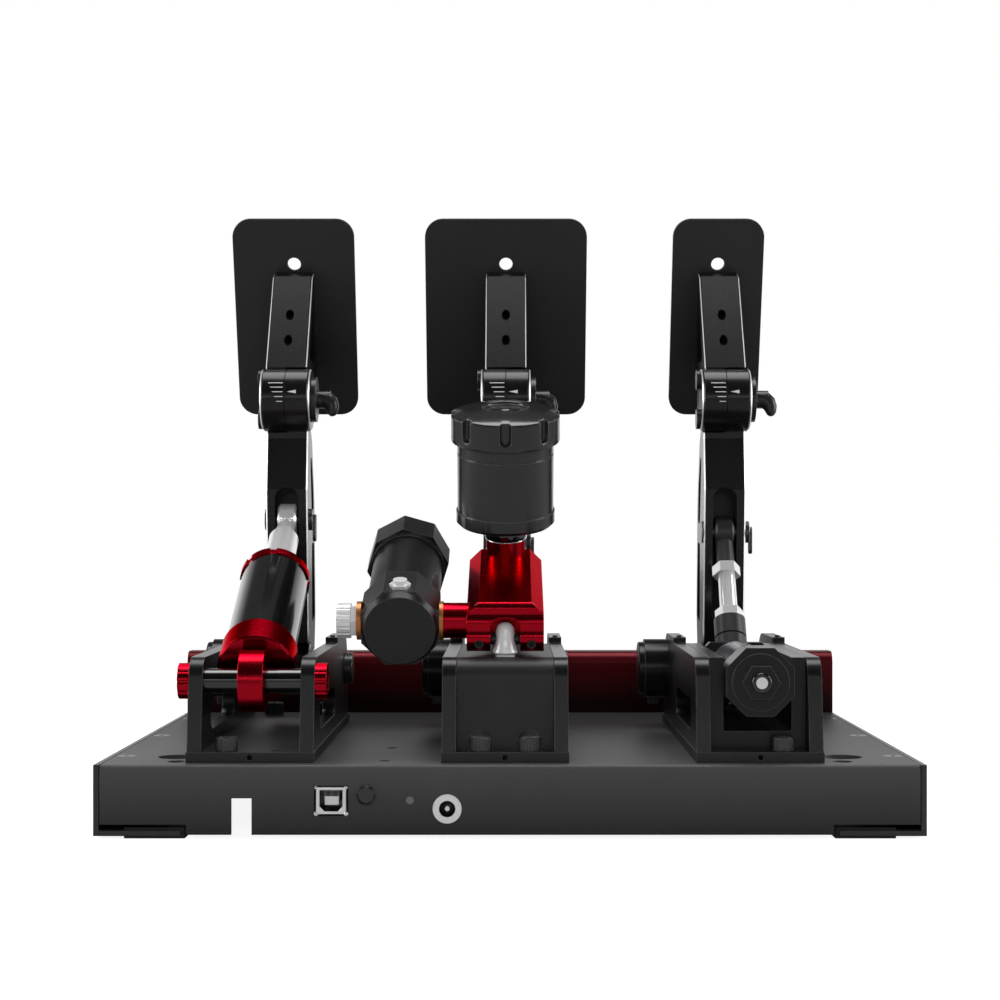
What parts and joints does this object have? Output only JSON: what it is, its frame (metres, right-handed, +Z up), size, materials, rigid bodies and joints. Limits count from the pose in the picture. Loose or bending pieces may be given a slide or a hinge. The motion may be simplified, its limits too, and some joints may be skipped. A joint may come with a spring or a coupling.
{
  "type": "sim racing pedal set",
  "caption": "Sim racing pedal set: throttle with damper, brake with hydraulic cylinder and reservoir, clutch with coil spring, on a folded metal tray with a red heel bar.",
  "frame": {"origin": "under the middle of the tray, on the surface the feet stand on", "axes": "+Z up, +Y towards the driver, +X to the right as seen from the side away from the driver"},
  "size_m": [0.34, 0.29, 0.2796],
  "materials": {
    "black_coat": "satin",
    "black_anodised": "satin",
    "black_gloss": "gloss",
    "red_anodised": "satin",
    "steel": "satin",
    "chrome": "gloss",
    "black_steel": "satin",
    "copper": "satin",
    "rubber": "matte",
    "black_plastic": "matte",
    "lamp_lens": "gloss",
    "circuit_board": "gloss"
  },
  "bodies": {
    "base": {"deck_plate": "black_coat", "side_rail_left": "black_coat", "side_rail_right": "black_coat", "rubber_feet": "rubber", "base_screws": "black_steel", "heel_bar": "red_anodised", "data_socket": "steel", "power_socket": "black_plastic", "status_lamp": "lamp_lens", "controller_board": "circuit_board", "bracket_screws": "black_steel", "pivot_bearings": "steel", "angle_sensors": "black_plastic", "damper_shaft": "black_steel", "damper_nuts": "red_anodised", "brake_bridge": "black_anodised", "mounting_stud": "steel", "master_cylinder": "red_anodised", "reservoir": "black_plastic", "pressure_cylinder": "black_anodised", "pressure_cylinder_cap": "black_anodised", "banjo_bolt": "black_steel", "copper_washers": "copper", "clutch_frame": "black_anodised", "clutch_spring_seat": "black_anodised", "clutch_spring": "steel", "throttle_base_plate": "black_anodised", "throttle_side_plate_left": "black_anodised", "throttle_side_plate_right": "black_anodised", "brake_base_plate": "black_anodised", "brake_side_plate_left": "black_anodised", "brake_side_plate_right": "black_anodised", "clutch_base_plate": "black_anodised", "clutch_side_plate_left": "black_anodised", "clutch_side_plate_right": "black_anodised"},
    "pair_button": {"pair_button": "black_plastic"},
    "reservoir_cap": {"reservoir_cap": "black_plastic"},
    "damper_body": {"damper_strut": "red_anodised", "damper_tube": "black_gloss", "damper_ring": "red_anodised"},
    "damper_piston": {"damper_rod": "chrome"},
    "brake_piston": {"brake_push_rod": "chrome"},
    "clutch_slider": {"clutch_carriage": "black_anodised", "clutch_guide_shaft": "steel"},
    "clutch_link": {"clutch_push_rod": "chrome"},
    "throttle_lever": {"throttle_arm": "black_anodised", "throttle_pins": "steel"},
    "throttle_face": {"throttle_face_arm": "black_anodised", "throttle_face_plate": "black_anodised", "throttle_face_screws": "black_steel"},
    "brake_lever": {"brake_arm": "black_anodised", "brake_pins": "steel"},
    "brake_face": {"brake_face_arm": "black_anodised", "brake_face_plate": "black_anodised", "brake_face_screws": "black_steel"},
    "clutch_lever": {"clutch_arm": "black_anodised", "clutch_pins": "steel"},
    "clutch_face": {"clutch_face_arm": "black_anodised", "clutch_face_plate": "black_anodised", "clutch_face_screws": "black_steel"}
  },
  "joints": [
    {"name": "throttle_pedal", "type": "hinge", "parent": "base", "child": "throttle_lever", "pos_m": [-0.107, 0.027, 0.0585], "axis": [1, 0, 0], "range_deg": [0, 16], "stiffness_Nm_per_rad": 6, "springref_deg": -17.19},
    {"name": "throttle_tilt", "type": "hinge", "parent": "throttle_lever", "child": "throttle_face", "pos_m": [-0.107, 0.008, 0.1886], "axis": [1, 0, 0], "range_deg": [-20, 20]},
    {"name": "brake_pedal", "type": "hinge", "parent": "base", "child": "brake_lever", "pos_m": [-0.002, 0.027, 0.0585], "axis": [1, 0, 0], "range_deg": [0, 6], "stiffness_Nm_per_rad": 80, "springref_deg": -3.44},
    {"name": "brake_tilt", "type": "hinge", "parent": "brake_lever", "child": "brake_face", "pos_m": [-0.002, 0.008, 0.1886], "axis": [1, 0, 0], "range_deg": [-20, 20]},
    {"name": "clutch_pedal", "type": "hinge", "parent": "base", "child": "clutch_lever", "pos_m": [0.103, 0.027, 0.0585], "axis": [1, 0, 0], "range_deg": [0, 16], "stiffness_Nm_per_rad": 20, "springref_deg": -16.04},
    {"name": "clutch_tilt", "type": "hinge", "parent": "clutch_lever", "child": "clutch_face", "pos_m": [0.103, 0.008, 0.1886], "axis": [1, 0, 0], "range_deg": [-20, 20]},
    {"name": "damper_swing", "type": "hinge", "parent": "base", "child": "damper_body", "pos_m": [-0.107, -0.124, 0.0629], "axis": [1, 0, 0], "range_deg": [0, 1.3]},
    {"name": "damper_slide", "type": "slide", "parent": "damper_body", "child": "damper_piston", "axis": [0, 0.8942, 0.4477], "range_m": [-0.0209, 0]},
    {"name": "brake_rod_slide", "type": "slide", "parent": "base", "child": "brake_piston", "axis": [0, 0.9561, 0.2931], "range_m": [-0.0069, 0]},
    {"name": "clutch_slide", "type": "slide", "parent": "base", "child": "clutch_slider", "axis": [0, 1, 0], "range_m": [-0.0268, 0], "deforming": ["clutch_spring"]},
    {"name": "clutch_rod_swing", "type": "hinge", "parent": "clutch_slider", "child": "clutch_link", "pos_m": [0.103, -0.027, 0.066], "axis": [1, 0, 0], "range_deg": [-8.7, 0]},
    {"name": "pair_button_push", "type": "slide", "parent": "base", "child": "pair_button", "axis": [0, 1, 0], "range_m": [0, 0.0008], "stiffness_N_per_m": 400, "springref_m": -0.001},
    {"name": "reservoir_cap_turn", "type": "hinge", "parent": "base", "child": "reservoir_cap", "pos_m": [-0.002, -0.07543, 0.16537], "axis": [0, -0.2931, 0.9561], "continuous": true}
  ],
  "couplings": [
    {"joint": "damper_swing", "follows": "throttle_pedal", "ratio": 0.0771},
    {"joint": "damper_slide", "follows": "throttle_pedal", "m_per_rad": -0.07244},
    {"joint": "brake_rod_slide", "follows": "brake_pedal", "m_per_rad": -0.06325},
    {"joint": "clutch_slide", "follows": "clutch_pedal", "m_per_rad": -0.09412},
    {"joint": "clutch_rod_swing", "follows": "clutch_pedal", "ratio": -0.53067}
  ]
}
